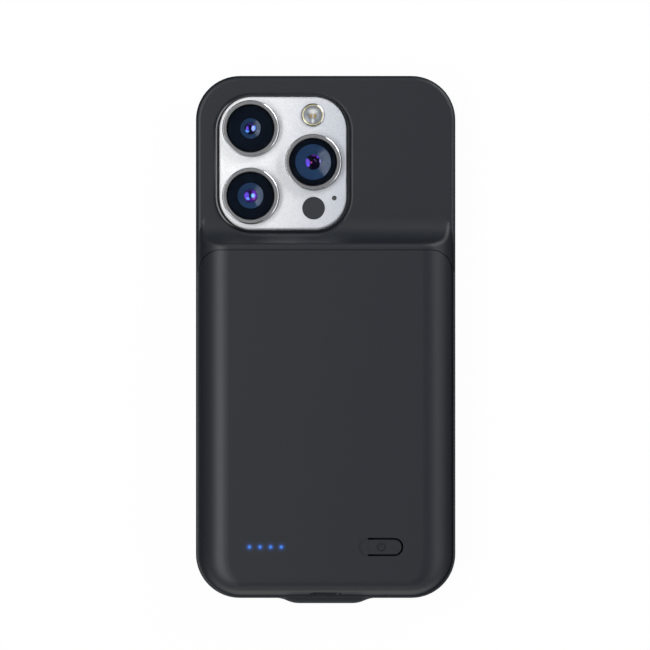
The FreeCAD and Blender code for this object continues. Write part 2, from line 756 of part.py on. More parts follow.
def power_button():
    """Press tongue in the lid's U-cut, with the boss that reaches the switch below."""
    tongue = button_plan(0, LID_IN_Z, HUMP_Z)
    root_x = BUTTON_X + BUTTON_ROOT_GAP
    tongue = tongue.cut(box(BUTTON_X, root_x, LINE_Y - BUTTON_H, LINE_Y + BUTTON_H, LID_IN_Z, HUMP_Z))
    return tongue.fuse(post(BUTTON_BOSS_R, BUTTON_X + BUTTON_BOSS_X, LINE_Y, BUTTON_BOSS_Z, LID_IN_Z))


def light_guide():
    """Clear strip with one pin for each charge light, flush with the back."""
    length = LIGHT_PITCH * (LIGHT_COUNT - 1) + LIGHT_BAR_OVER
    dx = length / 2
    dy = LIGHT_BAR_W / 2
    low = LID_IN_Z - LIGHT_BAR_T
    guide = box(LIGHT_X - dx, LIGHT_X + dx, LINE_Y - dy, LINE_Y + dy, low, LID_IN_Z)
    for x in LIGHT_XS:
        guide = guide.fuse(post(LIGHT_R, x, LINE_Y, LID_IN_Z, HUMP_Z))
    return guide


def battery_parts():
    """Flat pouch cell, the tape below it and its two terminals on the board."""
    middle = (CELL_FOOT_Y + CELL_TOP_Y) / 2
    low = FLOOR_Z + TAPE_T
    top = LID_IN_Z - CELL_LID_GAP
    wide = 2 * (LID_X - lid_side_inset(top, LID_T) - CELL_SIDE_GAP)
    long = CELL_TOP_Y - CELL_FOOT_Y
    cell = slab(wide, long, CELL_R, 0, middle, low, top)
    cell = cell.makeChamfer(CELL_EDGE, edges_at(cell, top))
    save("battery_cell", cell)
    tape_w = wide - 2 * TAPE_INSET
    tape_l = long - 2 * TAPE_INSET
    save("cell_tape", slab(tape_w, tape_l, TAPE_INSET, 0, middle, FLOOR_Z, low))
    for node, side in (("cell_tab_positive", 1), ("cell_tab_negative", -1)):
        x = side * TAB_X
        reach = BOARD_TOP_Y - TAB_L + BOARD_GAP
        save(node, box(x - TAB_W / 2, x + TAB_W / 2, reach, CELL_FOOT_Y, BOARD_TOP_Z, BOARD_TOP_Z + TAB_T))


def board_parts():
    """Main board with its lights, chip, coil and switch."""
    middle = (BOARD_TOP_Y + BOARD_FOOT_Y) / 2
    board = slab(BOARD_W, BOARD_L, BOARD_R, 0, middle, BOARD_Z, BOARD_TOP_Z)
    save("main_board", board)
    for n, x in enumerate(LIGHT_XS):
        top = BOARD_TOP_Z + LIGHT_CHIP_T
        dx = LIGHT_CHIP_W / 2
        dy = LIGHT_CHIP_L / 2
        save("charge_light_%d" % (n + 1), box(x - dx, x + dx, LINE_Y - dy, LINE_Y + dy, BOARD_TOP_Z, top))
    half = CHIP_W / 2
    chip = box(CHIP_X - half, CHIP_X + half, LINE_Y - half, LINE_Y + half, BOARD_TOP_Z, BOARD_TOP_Z + CHIP_T)
    save("charge_chip", chip)
    coil = slab(COIL_W, COIL_W, COIL_W / 6, COIL_X, LINE_Y, BOARD_Z - COIL_T, BOARD_Z)
    save("boost_coil", coil)
    press_x = BUTTON_X + BUTTON_BOSS_X
    half = SWITCH_W / 2
    top = BOARD_TOP_Z + SWITCH_T
    switch = box(press_x - half, press_x + half, LINE_Y - half, LINE_Y + half, BOARD_TOP_Z, top)
    floor = BOARD_TOP_Z + SWITCH_FLOOR_T
    switch = switch.cut(post(STEM_R + STEM_GAP, press_x, LINE_Y, floor, top))
    save("tact_switch", switch)
    save("switch_stem", post(STEM_R, press_x, LINE_Y, floor + STEM_TRAVEL, BUTTON_BOSS_Z))


def port_parts():
    """Charging port: a steel shell open to the foot and the contact tongue inside it."""
    mouth_y = LID_FOOT_Y + lid_end_inset(PORT_Z, 0) + PORT_SET_BACK
    back_y = mouth_y + PORT_L
    shell = end_slab(PORT_W, PORT_H, PORT_H / 2 - TINY, 0, PORT_Z, mouth_y, back_y)
    hollow_w = PORT_W - 2 * PORT_SKIN
    hollow_h = PORT_H - 2 * PORT_SKIN
    hollow = end_slab(hollow_w, hollow_h, hollow_h / 2 - TINY, 0, PORT_Z, mouth_y - BEYOND, back_y - PORT_SKIN)
    save("charge_port_shell", shell.cut(hollow))
    root_y = back_y - PORT_SKIN
    tongue = box(
        -TONGUE_W / 2, TONGUE_W / 2, root_y - TONGUE_L, root_y, PORT_Z - TONGUE_T / 2, PORT_Z + TONGUE_T / 2
    )
    save("charge_port_tongue", tongue)


def plug_parts():
    """Plug in the foot that enters the phone, its base, its small board and the flat cable."""
    root_y = PHONE_FOOT_Y - FIT
    shell = end_slab(PLUG_W, PLUG_H, PLUG_H / 2 - TINY, 0, PHONE_MID_Z, root_y, root_y + PLUG_L)
    hollow_w = PLUG_W - 2 * PLUG_SKIN
    hollow_h = PLUG_H - 2 * PLUG_SKIN
    hollow = end_slab(hollow_w, hollow_h, hollow_h / 2 - TINY, 0, PHONE_MID_Z, root_y, root_y + PLUG_L + BEYOND)
    save("phone_plug_shell", shell.cut(hollow))
    core_l = PLUG_L - PLUG_CORE_SET_BACK
    gap = PLUG_SKIN / 2
    core_w = hollow_w - gap
    core_h = hollow_h - gap
    core = end_slab(core_w, core_h, core_h / 2 - TINY, 0, PHONE_MID_Z, root_y, root_y + core_l)
    save("phone_plug_core", core)
    base = end_slab(PLUG_BASE_W, PLUG_BASE_H, PLUG_BASE_H / 4, 0, PHONE_MID_Z, PLUG_BOARD_Y, root_y)
    save("phone_plug_base", base)
    board = box(
        -PLUG_BOARD_SIDE,
        PLUG_BOARD_REACH,
        PLUG_BOARD_Y - PLUG_BOARD_T,
        PLUG_BOARD_Y,
        PHONE_MID_Z - PLUG_BOARD_H / 2,
        PHONE_MID_Z + PLUG_BOARD_H / 2,
    )
    save("plug_board", board)
    save("plug_flex", ribbon(flex_route(), FLEX_T, PLUG_BOARD_REACH - FLEX_W, PLUG_BOARD_REACH))


def phone_shell():
    """Metal body of the phone with seats for both panes, the keys and the plug."""
    body = phone_slab(0, SCREEN_Z, PHONE_BACK_Z)
    body = body.makeChamfer(PHONE_EDGE, edges_at(body, SCREEN_Z) + edges_at(body, PHONE_BACK_Z))
    seat = PANE_INSET - PANE_GAP
    body = body.cut(phone_slab(seat, SCREEN_Z - BEYOND, SCREEN_Z + PANE_T))
    body = body.cut(phone_slab(seat, PHONE_BACK_Z - PANE_T, PHONE_BACK_Z + BEYOND))
    wide = PLUG_W + 2 * PLUG_GAP
    high = PLUG_H + 2 * PLUG_GAP
    pocket_y = PHONE_FOOT_Y + PORT_POCKET_L
    body = body.cut(end_slab(wide, high, high / 2 - TINY, 0, PHONE_MID_Z, PHONE_FOOT_Y - BEYOND, pocket_y))
    keys = [(1, y, VOLUME_KEY_L) for y in VOLUME_YS.values()] + [(-1, SIDE_KEY_Y, SIDE_KEY_L)]
    for side, y, length in keys:
        span = sorted((side * (PHONE_W / 2 - KEY_DEPTH), side * (PHONE_W / 2 + BEYOND)))
        high = KEY_H + 2 * KEY_GAP
        body = body.cut(side_slab(length + 2 * KEY_GAP, high, high / 2, span[0], span[1], y, PHONE_MID_Z))
    high = RING_SWITCH_H + RING_SWITCH_THROW + 2 * RING_SWITCH_GAP
    length = RING_SWITCH_L + 2 * RING_POCKET_END
    deep = PHONE_W / 2 - RING_SWITCH_DEPTH - RING_SWITCH_GAP
    return body.cut(side_slab(length, high, high / 2, deep, PHONE_W / 2 + BEYOND, RING_SWITCH_Y, PHONE_MID_Z))


def phone_keys():
    """Ring switch and the three side keys, at rest."""
    outer = PHONE_W / 2
    switch_z = PHONE_MID_Z - RING_SWITCH_THROW / 2
    paddle = side_slab(
        RING_SWITCH_L,
        RING_SWITCH_H,
        RING_SWITCH_H / 2,
        outer - RING_SWITCH_DEPTH,
        outer + RING_SWITCH_PROUD,
        RING_SWITCH_Y,
        switch_z,
    )
    save("ring_switch", paddle)
    inner = outer - KEY_DEPTH + KEY_TRAVEL + KEY_GAP
    for node, y in VOLUME_YS.items():
        save(node, side_slab(VOLUME_KEY_L, KEY_H, KEY_H / 2, inner, outer + KEY_PROUD, y, PHONE_MID_Z))
    side = side_slab(SIDE_KEY_L, KEY_H, KEY_H / 2, -outer - KEY_PROUD, -inner, SIDE_KEY_Y, PHONE_MID_Z)
    save("side_key", side)


def phone_panes():
    """Front pane, and the back pane whose camera plate is worked from the same glass."""
    save("phone_screen", phone_slab(PANE_INSET, SCREEN_Z, SCREEN_Z + PANE_T))
    pane = phone_slab(PANE_INSET, PHONE_BACK_Z - PANE_T, PHONE_BACK_Z)
    plate = slab(PLATE_W, PLATE_L, PLATE_R, PLATE_X, PLATE_Y, PHONE_BACK_Z - PANE_T / 2, PLATE_Z)
    plate = plate.makeChamfer(PLATE_EDGE, edges_at(plate, PLATE_Z))
    pane = pane.fuse(plate)
    for spot in LENS_SPOTS:
        pane = pane.cut(post(LENS_RING_R + LENS_FIT, spot[0], spot[1], PLATE_Z - LENS_SEAT_T, RING_Z))
    bores = [
        (FLASH_SPOT, FLASH_R, FLASH_T + FLASH_EMITTER_T),
        (DEPTH_SPOT, DEPTH_R, DEPTH_T),
        (MIC_SPOT, MIC_R, MIC_SINK + MIC_T),
    ]
    for spot, radius, deep in bores:
        pane = pane.cut(post(radius + LENS_FIT, spot[0], spot[1], PLATE_Z - deep, RING_Z))
    save("phone_back_glass", pane)


def camera_parts():
    """Three camera units, the flash, the depth window and the microphone mesh."""
    low = PLATE_Z - LENS_SEAT_T
    bore = LENS_R + LENS_FIT
    bevel = LENS_RING_BEVEL
    glass_top = RING_Z - LENS_COVER_SINK
    barrel_top = glass_top - LENS_COVER_T
    for n, spot in enumerate(LENS_SPOTS):
        ring = [
            (bore, low),
            (LENS_RING_R, low),
            (LENS_RING_R, RING_Z - bevel),
            (LENS_RING_R - bevel, RING_Z),
            (bore, RING_Z),
        ]
        save("lens_ring_%d" % (n + 1), turned(ring, spot))
        seat_r = LENS_ELEMENT_R[n] + LENS_FIT
        lip = barrel_top - LENS_LIP_T
        throat = lip - (LENS_WELL_R[n] - seat_r) * math.tan(math.radians(LENS_SLOPE))
        well = throat - LENS_ELEMENT_SINK
        barrel = [
            (0, low),
            (LENS_R, low),
            (LENS_R, barrel_top),
            (LENS_WELL_R[n], barrel_top),
            (LENS_WELL_R[n], lip),
            (seat_r, throat),
            (seat_r, well),
            (0, well),
        ]
        save("lens_barrel_%d" % (n + 1), turned(barrel, spot))
        save("lens_cover_%d" % (n + 1), post(LENS_R, spot[0], spot[1], barrel_top, glass_top))
        radius = LENS_ELEMENT_R[n]
        crown = radius * LENS_ELEMENT_CROWN
        dome = [(0, well), (radius, well), (crown, well + LENS_ELEMENT_H), (0, well + LENS_ELEMENT_H)]
        save("lens_element_%d" % (n + 1), turned(dome, spot))
    low = PLATE_Z - FLASH_T
    pane_r = FLASH_R - FLASH_BEZEL_W
    bezel = post(FLASH_R, *FLASH_SPOT, low - FLASH_EMITTER_T, PLATE_Z + FLASH_BEZEL_H)
    save("flash_bezel", bezel.cut(post(pane_r, *FLASH_SPOT, low - FLASH_EMITTER_T, PLATE_Z + BEYOND)))
    save("flash_lens", post(pane_r - LENS_FIT, *FLASH_SPOT, low, PLATE_Z))
    save("flash_emitter", post(FLASH_EMITTER_R, *FLASH_SPOT, low - FLASH_EMITTER_T, low))
    save("depth_window", post(DEPTH_R, *DEPTH_SPOT, PLATE_Z - DEPTH_T, PLATE_Z))
    save("rear_microphone", post(MIC_R, *MIC_SPOT, PLATE_Z - MIC_SINK - MIC_T, PLATE_Z - MIC_SINK))


save("case_frame", case_frame())
save("back_cover", back_cover())
save("power_button", power_button())
save("light_guide", light_guide())
battery_parts()
board_parts()
port_parts()
plug_parts()
save("phone_body", phone_shell())
phone_keys()
phone_panes()
camera_parts()
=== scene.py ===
"""Looks of a battery phone case with a phone in it, lying on its front rim and seen from the back."""

import math

import bpy
import numpy as np
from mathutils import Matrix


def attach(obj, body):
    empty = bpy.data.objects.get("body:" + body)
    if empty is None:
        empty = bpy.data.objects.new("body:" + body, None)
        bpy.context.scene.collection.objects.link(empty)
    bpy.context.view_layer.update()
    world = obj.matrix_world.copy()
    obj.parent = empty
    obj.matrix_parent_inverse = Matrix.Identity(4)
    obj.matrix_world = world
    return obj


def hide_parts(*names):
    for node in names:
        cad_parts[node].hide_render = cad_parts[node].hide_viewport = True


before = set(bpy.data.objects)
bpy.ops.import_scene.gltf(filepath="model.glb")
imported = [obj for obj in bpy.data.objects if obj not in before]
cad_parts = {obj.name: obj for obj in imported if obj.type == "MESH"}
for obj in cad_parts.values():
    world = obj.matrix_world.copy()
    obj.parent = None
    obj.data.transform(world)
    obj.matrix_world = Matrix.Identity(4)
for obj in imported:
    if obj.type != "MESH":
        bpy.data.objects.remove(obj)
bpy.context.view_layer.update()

MM = 0.001

# Levels and places in millimetres, as in the solids
LEDGE_Z = 9.9
SEAT_Z = 9.4
PLATE_Z = 10.6
PLATE_X = -12.55
WINDOW_SPOT = (-12.48, 51.74)
WINDOW_CORE = (9.18, 9.62)
WINDOW_R = 10.5
LENS_SPOTS = ((-22.08, 62.08), (-22.08, 42.28), (-3.68, 52.18))
LENS_R = 6.95
RING_R = 8.3
RING_Z = 12.8
GLASS_Z = 12.55
INK_Z = 12.05
IRIS_R = (1.75, 2.0, 2.25)
FLASH_SPOT = (-3.77, 66.03)
FLASH_Z = 11.2
LIGHT_XS = (-22.38, -13.02)
LIGHT_GAPS = 3.0
LINE_Y = -60.89
SIGN_X = 16.35

# New pieces in millimetres. A profile is a row of radius and height, and its corners are the radii to which its
# inner points are rounded.
LIP_PROFILE = (
    (WINDOW_R - 0.28, LEDGE_Z - 0.02),
    (WINDOW_R - 0.28, LEDGE_Z + 0.62),
    (WINDOW_R + 0.2, LEDGE_Z + 0.46),
    (WINDOW_R + 0.22, LEDGE_Z + 0.1),
)
LIP_CORNERS = (0.05, 0.02)
BORE_R = LENS_R + 0.05
FLAT_R = (7.15, 8.05)
OXIDE_R, POLISH_R = FLAT_R[0] - 0.01, FLAT_R[1] - 0.02
RING_PROFILE = (
    (BORE_R, SEAT_Z),
    (BORE_R, GLASS_Z - 0.1),
    (FLAT_R[0], RING_Z),
    (FLAT_R[1], RING_Z),
    (RING_R - 0.08, RING_Z - 0.1),
    (RING_R, RING_Z - 0.35),
    (RING_R, SEAT_Z),
)
RING_CORNERS = (0.05, 0.06, 0.03, 0.03, 0.15)
# Shift of the seal's centre, so that it shows as painted shade to one side of each ring.
SEAL_SHADE_SHIFT = (0.16, -0.07)
SEAL_PROFILE = (
    (RING_R - 0.1, PLATE_Z + 0.1),
    (RING_R + 0.04, PLATE_Z + 0.06),
    (RING_R + 0.06, PLATE_Z - 0.1),
)
SEAL_CORNERS = (0.05,)
GLASS_LOW_Z = INK_Z + 0.02
GLASS_PROFILE = ((0, GLASS_LOW_Z), (LENS_R, GLASS_LOW_Z), (LENS_R, GLASS_Z), (0, GLASS_Z))
GLASS_CORNERS = (0.02, 0.02)
INK_EDGE_R = 6.6
INK_DOWN = 0.12
FUNNEL_R = (3.0, 3.8, 5.25)
FUNNEL_Z = INK_Z - 0.1
FUNNEL_SLOPE = math.radians(18)
IRIS_DOWN = 0.2
EYE_DOWN, EYE_RISE, EYE_STEPS = 0.18, 0.5, 13
RIM_PROFILE = (
    (2.6, 9.7),
    (2.75, FLASH_Z - 0.12),
    (2.95, FLASH_Z),
    (3.05, FLASH_Z),
    (3.33, FLASH_Z - 0.16),
    (3.4, FLASH_Z - 0.3),
    (3.4, 9.6),
)
RIM_CORNERS = (0.05, 0.05, 0.06, 0.06, 0.1)
GOLD_R, GOLD_Z = 3.05, FLASH_Z - 0.2
DISH_R, DISH_Z, DISH_RISE, DISH_POWER, DISH_STEPS = 2.76, 10.05, 0.95, 2.2, 15
DIE_PROFILE = ((0.4, 9.95), (0.4, 10.42), (0.0, 10.5))
DIE_CORNERS = (0.12,)
DIE_OUT, DIE_DOWN = 0.62, 0.25
DIE_SQUARE, DIE_STRETCH, DIE_TURNS = 4.0, (0.85, 1.3), 48


def linear(code):
    """sRGB hex colour as linear red, green, blue and alpha."""
    share = np.array([int(code[n : n + 2], 16) for n in (1, 3, 5)]) / 255
    light = np.where(share <= 0.04045, share / 12.92, ((share + 0.055) / 1.055) ** 2.4)
    return (*light.tolist(), 1.0)


WHITE = linear("#ffffff")
BLACK = linear("#000000")
NOISE_DETAIL = 3.0
NOISE_SPAN = (0.3, 0.7)


def add(tree, kind, inputs=None, **settings):
    """One node with its settings; each input is a plain value or the output that feeds it."""
    node = tree.nodes.new(kind)
    for key, value in settings.items():
        setattr(node, key, value)
    for key, value in (inputs or {}).items():
        if isinstance(value, bpy.types.NodeSocket):
            tree.links.new(value, node.inputs[key])
        else:
            node.inputs[key].default_value = value
    return node


def surface(name, dark, pale, grain, rough, relief=0.0, stretch=(1, 1, 1), **sockets):
    """A material whose colour and roughness swing between two values over a noise with the given grain in
    millimetres, which stretch may draw out, and whose relief in millimetres follows the same noise. Gives the
    material, its tree, its shader and the socket with the place on the object."""
    material = bpy.data.materials.new(name)
    material.use_nodes = True
    tree = material.node_tree
    tree.nodes.clear()
    shader = add(tree, "ShaderNodeBsdfPrincipled", {k.replace("_", " "): v for k, v in sockets.items()})
    add(tree, "ShaderNodeOutputMaterial", {"Surface": shader.outputs[0]})
    place = add(tree, "ShaderNodeTexCoord").outputs["Object"]
    drawn = add(tree, "ShaderNodeMapping", {"Vector": place, "Scale": stretch})
    speck = add(
        tree,
        "ShaderNodeTexNoise",
        {"Vector": drawn.outputs[0], "Scale": 1 / (grain * MM), "Detail": NOISE_DETAIL},
    )
    swing = add(
        tree,
        "ShaderNodeMapRange",
        {"Value": speck.outputs[0], "From Min": NOISE_SPAN[0], "From Max": NOISE_SPAN[1]},
    )
    tone = add(tree, "ShaderNodeMix", {0: swing.outputs[0], 6: linear(dark), 7: linear(pale)}, data_type="RGBA")
    tree.links.new(tone.outputs[2], shader.inputs["Base Color"])
    gloss = add(
        tree, "ShaderNodeMapRange", {"Value": swing.outputs[0], "To Min": rough[0], "To Max": rough[1]}
    )
    tree.links.new(gloss.outputs[0], shader.inputs["Roughness"])
    if relief:
        bump = add(
            tree, "ShaderNodeBump", {"Height": speck.outputs[0], "Strength": 1.0, "Distance": relief * MM}
        )
        tree.links.new(bump.outputs[0], shader.inputs["Normal"])
    return material, tree, shader, place


def blot(tree, under, place, spot, size, code, soft):
    """Lays one soft oval of colour over another colour and returns the result: centre and half sizes are in
    millimetres, and soft is the share of the oval over which it fades."""
    where = add(
        tree,
        "ShaderNodeMapping",
        {
            "Vector": place,
            "Scale": (1 / (size[0] * MM), 1 / (size[1] * MM), 0),
            "Location": (-spot[0] / size[0], -spot[1] / size[1], 0),
        },
    )
    out = add(tree, "ShaderNodeVectorMath", {0: where.outputs[0]}, operation="LENGTH")
    mask = add(
        tree,
        "ShaderNodeMapRange",
        {"Value": out.outputs["Value"], "From Min": 1 - soft, "From Max": 1, "To Min": 1, "To Max": 0},
        interpolation_type="SMOOTHSTEP",
    )
    mixed = add(tree, "ShaderNodeMix", {0: mask.outputs[0], 6: under, 7: linear(code)}, data_type="RGBA")
    return mixed.outputs[2]


# ---------------------------------------------------------------- shapes

SHARP_EDGE = math.radians(35)
BEND_SHARE, BEND_STEPS, RUN_ON = 0.38, 5, 1.25
ON_AXIS = 1e-9


def mesh_object(name, points, faces, materials, picks=None):
    """A mesh from point and face arrays in millimetres, smooth but for its sharp edges; picks gives each face
    the number of its material."""
    mesh = bpy.data.meshes.new(name)
    mesh.from_pydata((points * MM).tolist(), [], faces)
    for material in materials:
        mesh.materials.append(material)
    if picks is not None:
        mesh.polygons.foreach_set("material_index", np.asarray(picks, np.int32))
    mesh.shade_smooth()
    mesh.set_sharp_from_angle(angle=SHARP_EDGE)
    thing = bpy.data.objects.new(name, mesh)
    bpy.context.scene.collection.objects.link(thing)
    return thing


def soften(profile, corners):
    """A profile whose inner corners are rounded: each corner point q gives the curve q + (1 - t)^2 a + t^2 b,
    where a and b lie along its two runs, as long as the corner's radius or a share of the shorter run. One more
    point on each run keeps the runs flat."""
    p = np.asarray(profile, float)
    before, at, after = p[:-2], p[1:-1], p[2:]
    reach_in = np.linalg.norm(before - at, axis=1, keepdims=True)
    reach_out = np.linalg.norm(after - at, axis=1, keepdims=True)
    most = BEND_SHARE * np.minimum(reach_in, reach_out)
    cut = np.minimum(np.asarray(corners, float).reshape(-1, 1), most)
    a = (before - at) / reach_in * cut
    b = (after - at) / reach_out * cut
    t = np.linspace(0, 1, BEND_STEPS)[None, :, None]
    bend = (1 - t) ** 2 * a[:, None] + t**2 * b[:, None]
    bend = np.concatenate([RUN_ON * a[:, None], bend, RUN_ON * b[:, None]], axis=1) + at[:, None]
    return np.vstack([p[:1], bend.reshape(-1, 2), p[-1:]])


def lathe(name, profile, spot, materials, pick=None, turns=160, square=2.0, stretch=(1, 1), core=(0, 0)):
    """A profile of radius r and height h carried round an upright axis: x = cx + kx sign(cos a) + sx r f cos a,
    y = cy + ky sign(sin a) + sy r f sin a, z = h. f = (|cos a|^n + |sin a|^n)^(-1/n) is 1 for a circle, n = 2,
    and nears a square as n grows. A core k parts the four quarters, which makes a rounded rectangle. A profile
    end on the axis closes in one point. pick gives a material's number from the mean radius and height of a
    run."""
    p = np.asarray(profile, float)
    count = len(p)
    a = (np.arange(turns) + 0.5) * 2 * np.pi / turns
    f = (np.abs(np.cos(a)) ** square + np.abs(np.sin(a)) ** square) ** (-1 / square)
    r, h = p[:, :1], p[:, 1:]
    x = spot[0] + core[0] * np.sign(np.cos(a)) + stretch[0] * r * f * np.cos(a)
    y = spot[1] + core[1] * np.sign(np.sin(a)) + stretch[1] * r * f * np.sin(a)
    grid = np.stack([x, y, h + 0 * a], axis=2)
    index = np.arange(count * turns).reshape(count, turns)
    poles = np.where(p[:, 0] < ON_AXIS)[0]
    index[poles] = index[poles, :1]
    top, low = index[:-1], index[1:]
    quads = np.stack([top, np.roll(top, -1, axis=1), np.roll(low, -1, axis=1), low], axis=2).reshape(-1, 4)
    mean = (p[:-1] + p[1:]) / 2
    picks = np.repeat(pick(mean[:, 0], mean[:, 1]) if pick else np.zeros(count - 1, int), turns)
    used, again = np.unique(quads, return_inverse=True)
    quads = again.reshape(-1, 4)
    flat_top = quads[:, 0] == quads[:, 1]
    flat_low = quads[:, 2] == quads[:, 3]
    full = ~flat_top & ~flat_low
    faces = quads[full].tolist()
    faces += quads[flat_top][:, [0, 2, 3]].tolist() + quads[flat_low][:, [0, 1, 2]].tolist()
    picks = np.concatenate([picks[full], picks[flat_top], picks[flat_low]])
    return mesh_object(name, grid.reshape(-1, 3)[used], faces, materials, picks)


def seat(thing, slot, *nodes):
    """Lets a piece ride on the case and stand for the named nodes, which it hides. The slot is not used."""
    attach(thing, "case")
    if nodes:
        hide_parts(*nodes)
    return thing


# ---------------------------------------------------------------- materials

# ABS moulded against a spark-eroded tool: near-black slate with a dull, even sheen. The tool's grit of about
# 0.05 mm is too fine to show and is drawn at 0.4 mm.
MOULDED = ("#141920", "#171c24", 0.4, (0.47, 0.53), 0.004)
sleeve_plastic = surface("moulded_abs_sleeve", *MOULDED, IOR=1.5)[0]
# The lip at the foot of the sleeve's window comes from a polished part of the tool: thin bright lines.
lip_plastic = surface("polished_abs_lip", "#14181d", "#181c21", 0.4, (0.2, 0.26), IOR=1.5)[0]

# The four lights shine sideways into the lid's own plastic. Each hole's blue halo, which fades in 2 mm, is
# painted glow: emission colour on the lid.
GLOW_REACH = 2.0
GLOW = ((0.0, "#5c9cf6"), (0.1, "#4a86e6"), (0.22, "#2a58ae"), (0.42, "#10244a"), (0.7, "#060d1c"))


def light_glow(tree, shader, place):
    """Blue emission colour round the nearest of the evenly spaced lights, fading with the distance from its
    centre; on the lid this is painted glow.
    """
    first, last = (x * MM for x in LIGHT_XS)
    apart = add(tree, "ShaderNodeSeparateXYZ", {0: place})
    count = add(
        tree,
        "ShaderNodeMapRange",
        {"Value": apart.outputs[0], "From Min": first, "From Max": last, "To Max": LIGHT_GAPS},
    )
    nearest = add(tree, "ShaderNodeMath", {0: count.outputs[0]}, operation="ROUND")
    centre = add(
        tree,
        "ShaderNodeMapRange",
        {"Value": nearest.outputs[0], "From Max": LIGHT_GAPS, "To Min": first, "To Max": last},
    )
    middle = add(tree, "ShaderNodeCombineXYZ", {0: centre.outputs[0], 1: LINE_Y * MM, 2: apart.outputs[2]})
    away = add(tree, "ShaderNodeVectorMath", {0: place, 1: middle.outputs[0]}, operation="DISTANCE")
    fade = add(tree, "ShaderNodeMapRange", {"Value": away.outputs["Value"], "From Max": GLOW_REACH * MM})
    glow = add(tree, "ShaderNodeValToRGB", {"Fac": fade.outputs[0]})
    glow.color_ramp.elements[0].color = linear(GLOW[0][1])
    glow.color_ramp.elements[1].color = BLACK
    for stop, code in GLOW[1:]:
        glow.color_ramp.elements.new(stop).color = linear(code)
    tree.links.new(glow.outputs[0], shader.inputs["Emission Color"])
    shader.inputs["Emission Strength"].default_value = 1.0


lid_plastic, tree, shader, place = surface("moulded_abs_lid", *MOULDED, IOR=1.5)
# Painted glow round the light holes, as emission on the lid.
light_glow(tree, shader, place)

# The press sign is printed on the button in glossier black ink: an open ring with one upright stroke, given by
# the ring's radius, half its line and half its gap, and the stroke's middle and half length in millimetres.
SIGN_R, SIGN_LINE, SIGN_GAP = 1.12, 0.15, 0.56
STROKE_Y, STROKE_HALF = 0.8, 0.68
SIGN_INK, SIGN_ROUGH = "#040506", 0.38
button_plastic, tree, shader, place = surface("moulded_abs_button", *MOULDED, IOR=1.5)
sign = add(
    tree,
    "ShaderNodeMapping",
    {"Vector": place, "Location": (-SIGN_X, -LINE_Y, 0), "Scale": (1 / MM, 1 / MM, 0)},
)
across = add(tree, "ShaderNodeSeparateXYZ", {0: sign.outputs[0]})
out = add(tree, "ShaderNodeVectorMath", {0: sign.outputs[0]}, operation="LENGTH")
loop = add(tree, "ShaderNodeMath", {0: out.outputs["Value"], 1: SIGN_R, 2: SIGN_LINE}, operation="COMPARE")
gap = add(tree, "ShaderNodeMath", {0: across.outputs[0], 1: 0.0, 2: SIGN_GAP}, operation="COMPARE")
upper = add(tree, "ShaderNodeMath", {0: across.outputs[1], 1: 0.0}, operation="GREATER_THAN")
gap = add(tree, "ShaderNodeMath", {0: gap.outputs[0], 1: upper.outputs[0]}, operation="MULTIPLY")
loop = add(tree, "ShaderNodeMath", {0: loop.outputs[0], 1: gap.outputs[0]}, operation="SUBTRACT")
stroke = add(tree, "ShaderNodeMath", {0: across.outputs[0], 1: 0.0, 2: SIGN_LINE}, operation="COMPARE")
tall = add(tree, "ShaderNodeMath", {0: across.outputs[1], 1: STROKE_Y, 2: STROKE_HALF}, operation="COMPARE")
stroke = add(tree, "ShaderNodeMath", {0: stroke.outputs[0], 1: tall.outputs[0]}, operation="MULTIPLY")
printed = add(
    tree, "ShaderNodeMath", {0: loop.outputs[0], 1: stroke.outputs[0]}, operation="MAXIMUM", use_clamp=True
)
bare = shader.inputs["Base Color"].links[0].from_socket
ink = add(tree, "ShaderNodeMix", {0: printed.outputs[0], 6: bare, 7: linear(SIGN_INK)}, data_type="RGBA")
tree.links.new(ink.outputs[2], shader.inputs["Base Color"])
grit = shader.inputs["Roughness"].links[0].from_socket
gloss = add(tree, "ShaderNodeMix", {0: printed.outputs[0], 2: grit, 3: SIGN_ROUGH})
tree.links.new(gloss.outputs[0], shader.inputs["Roughness"])

# Acid-etched glass over silver paint: white with a fine glitter, and painted shade that makes it cooler and
# darker towards one side.
PLATE_SHADE_SPAN = (-14, 19)
PLATE_SHADE_TINT = "#c6cad1"
etched_glass, tree, shader, place = surface(
    "etched_silver_glass", "#eceef1", "#ffffff", 0.4, (0.36, 0.46), 0.008, IOR=1.5
)
# Painted shade: the plate's colour is multiplied towards a cool grey from left to right.
across = add(tree, "ShaderNodeSeparateXYZ", {0: place})
start, end = ((PLATE_X + x) * MM for x in PLATE_SHADE_SPAN)
turned = add(tree, "ShaderNodeMapRange", {"Value": across.outputs[0], "From Min": start, "From Max": end})
bare = shader.inputs["Base Color"].links[0].from_socket
side_shade = add(tree, "ShaderNodeMix", {0: turned.outputs[0], 6: WHITE, 7: linear(PLATE_SHADE_TINT)}, data_type="RGBA")
tint = add(
    tree, "ShaderNodeMix", {0: 1.0, 6: bare, 7: side_shade.outputs[2]}, data_type="RGBA", blend_type="MULTIPLY"
)
tree.links.new(tint.outputs[2], shader.inputs["Base Color"])

# Stainless steel, bead blasted on the flat of each ring: an even grey without a mirror image.
blasted_steel = surface("bead_blasted_steel", "#86878a", "#97989b", 0.3, (0.46, 0.54), 0.004, Metallic=1.0)[0]
# The same steel turned and polished on the bevel: thin bright lines.
polished_steel = surface("polished_steel", "#c9cacd", "#d6d7da", 0.6, (0.1, 0.16), Metallic=1.0)[0]
# Black oxide on the rings' inner edge: a soft dark line round the glass.
oxide_black = surface(
    "black_oxide_steel", "#0b0b0c", "#121213", 0.4, (0.4, 0.55), IOR=1.5, Specular_IOR_Level=0.2
)[0]
# Moulded rubber seal: black and dull. Set off-centre, it stands as painted shade beside the rings.
seal_rubber = surface("moulded_rubber_seal", "#101113", "#17181a", 0.3, (0.7, 0.8), 0.003, IOR=1.5)[0]

